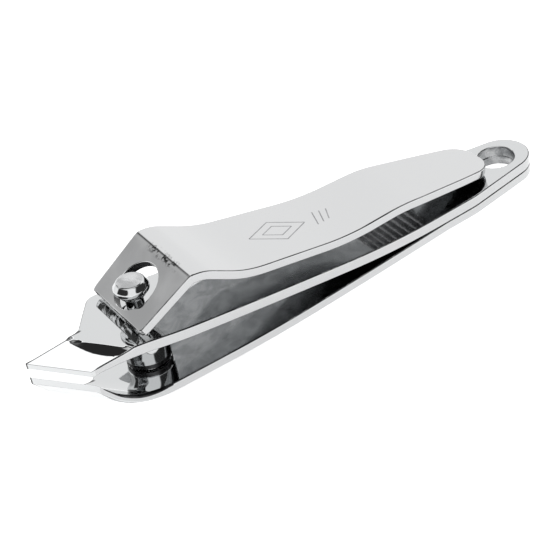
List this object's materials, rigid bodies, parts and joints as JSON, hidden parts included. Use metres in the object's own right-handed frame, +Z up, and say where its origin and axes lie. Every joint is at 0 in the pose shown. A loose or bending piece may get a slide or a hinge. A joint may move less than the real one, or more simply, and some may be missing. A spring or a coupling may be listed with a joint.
{
  "type": "nail clipper",
  "caption": "Chromed nail clipper with a slanted cutting edge, two sprung leaves, a swivelling headed pin and a flip-over thumb lever.",
  "frame": {"origin": "centre of the bounding box in X and Y, at the table plane under the lower leaf's belly", "axes": "+X from the jaws to the keyring hole, +Y towards the leading corner of the slanted cutting edge, +Z up from the table to the lever"},
  "size_m": [0.08, 0.0144, 0.0157],
  "materials": {
    "leaf_chrome": "mirror polish",
    "lever_chrome": "mirror polish",
    "pin_chrome": "turned and plated"
  },
  "bodies": {
    "lower_arm": {"lower_arm": "leaf_chrome"},
    "upper_arm": {"upper_arm": "leaf_chrome"},
    "pin": {"pin": "pin_chrome", "spacer_sleeve": "pin_chrome"},
    "lever": {"lever": "lever_chrome"}
  },
  "joints": [
    {"name": "jaw_close", "type": "hinge", "parent": "lower_arm", "child": "upper_arm", "pos_m": [0.0215, 0, 0.003], "axis": [0, -1, 0], "range_deg": [0, 1.15], "stiffness_Nm_per_rad": 5},
    {"name": "pin_swivel", "type": "hinge", "parent": "lower_arm", "child": "pin", "pos_m": [-0.0237, 0, 0.003], "axis": [0, 0, 1], "continuous": true},
    {"name": "lever_flip", "type": "hinge", "parent": "pin", "child": "lever", "pos_m": [-0.0258, 0, 0.0106], "axis": [0, -1, 0], "range_deg": [0, 140]}
  ]
}
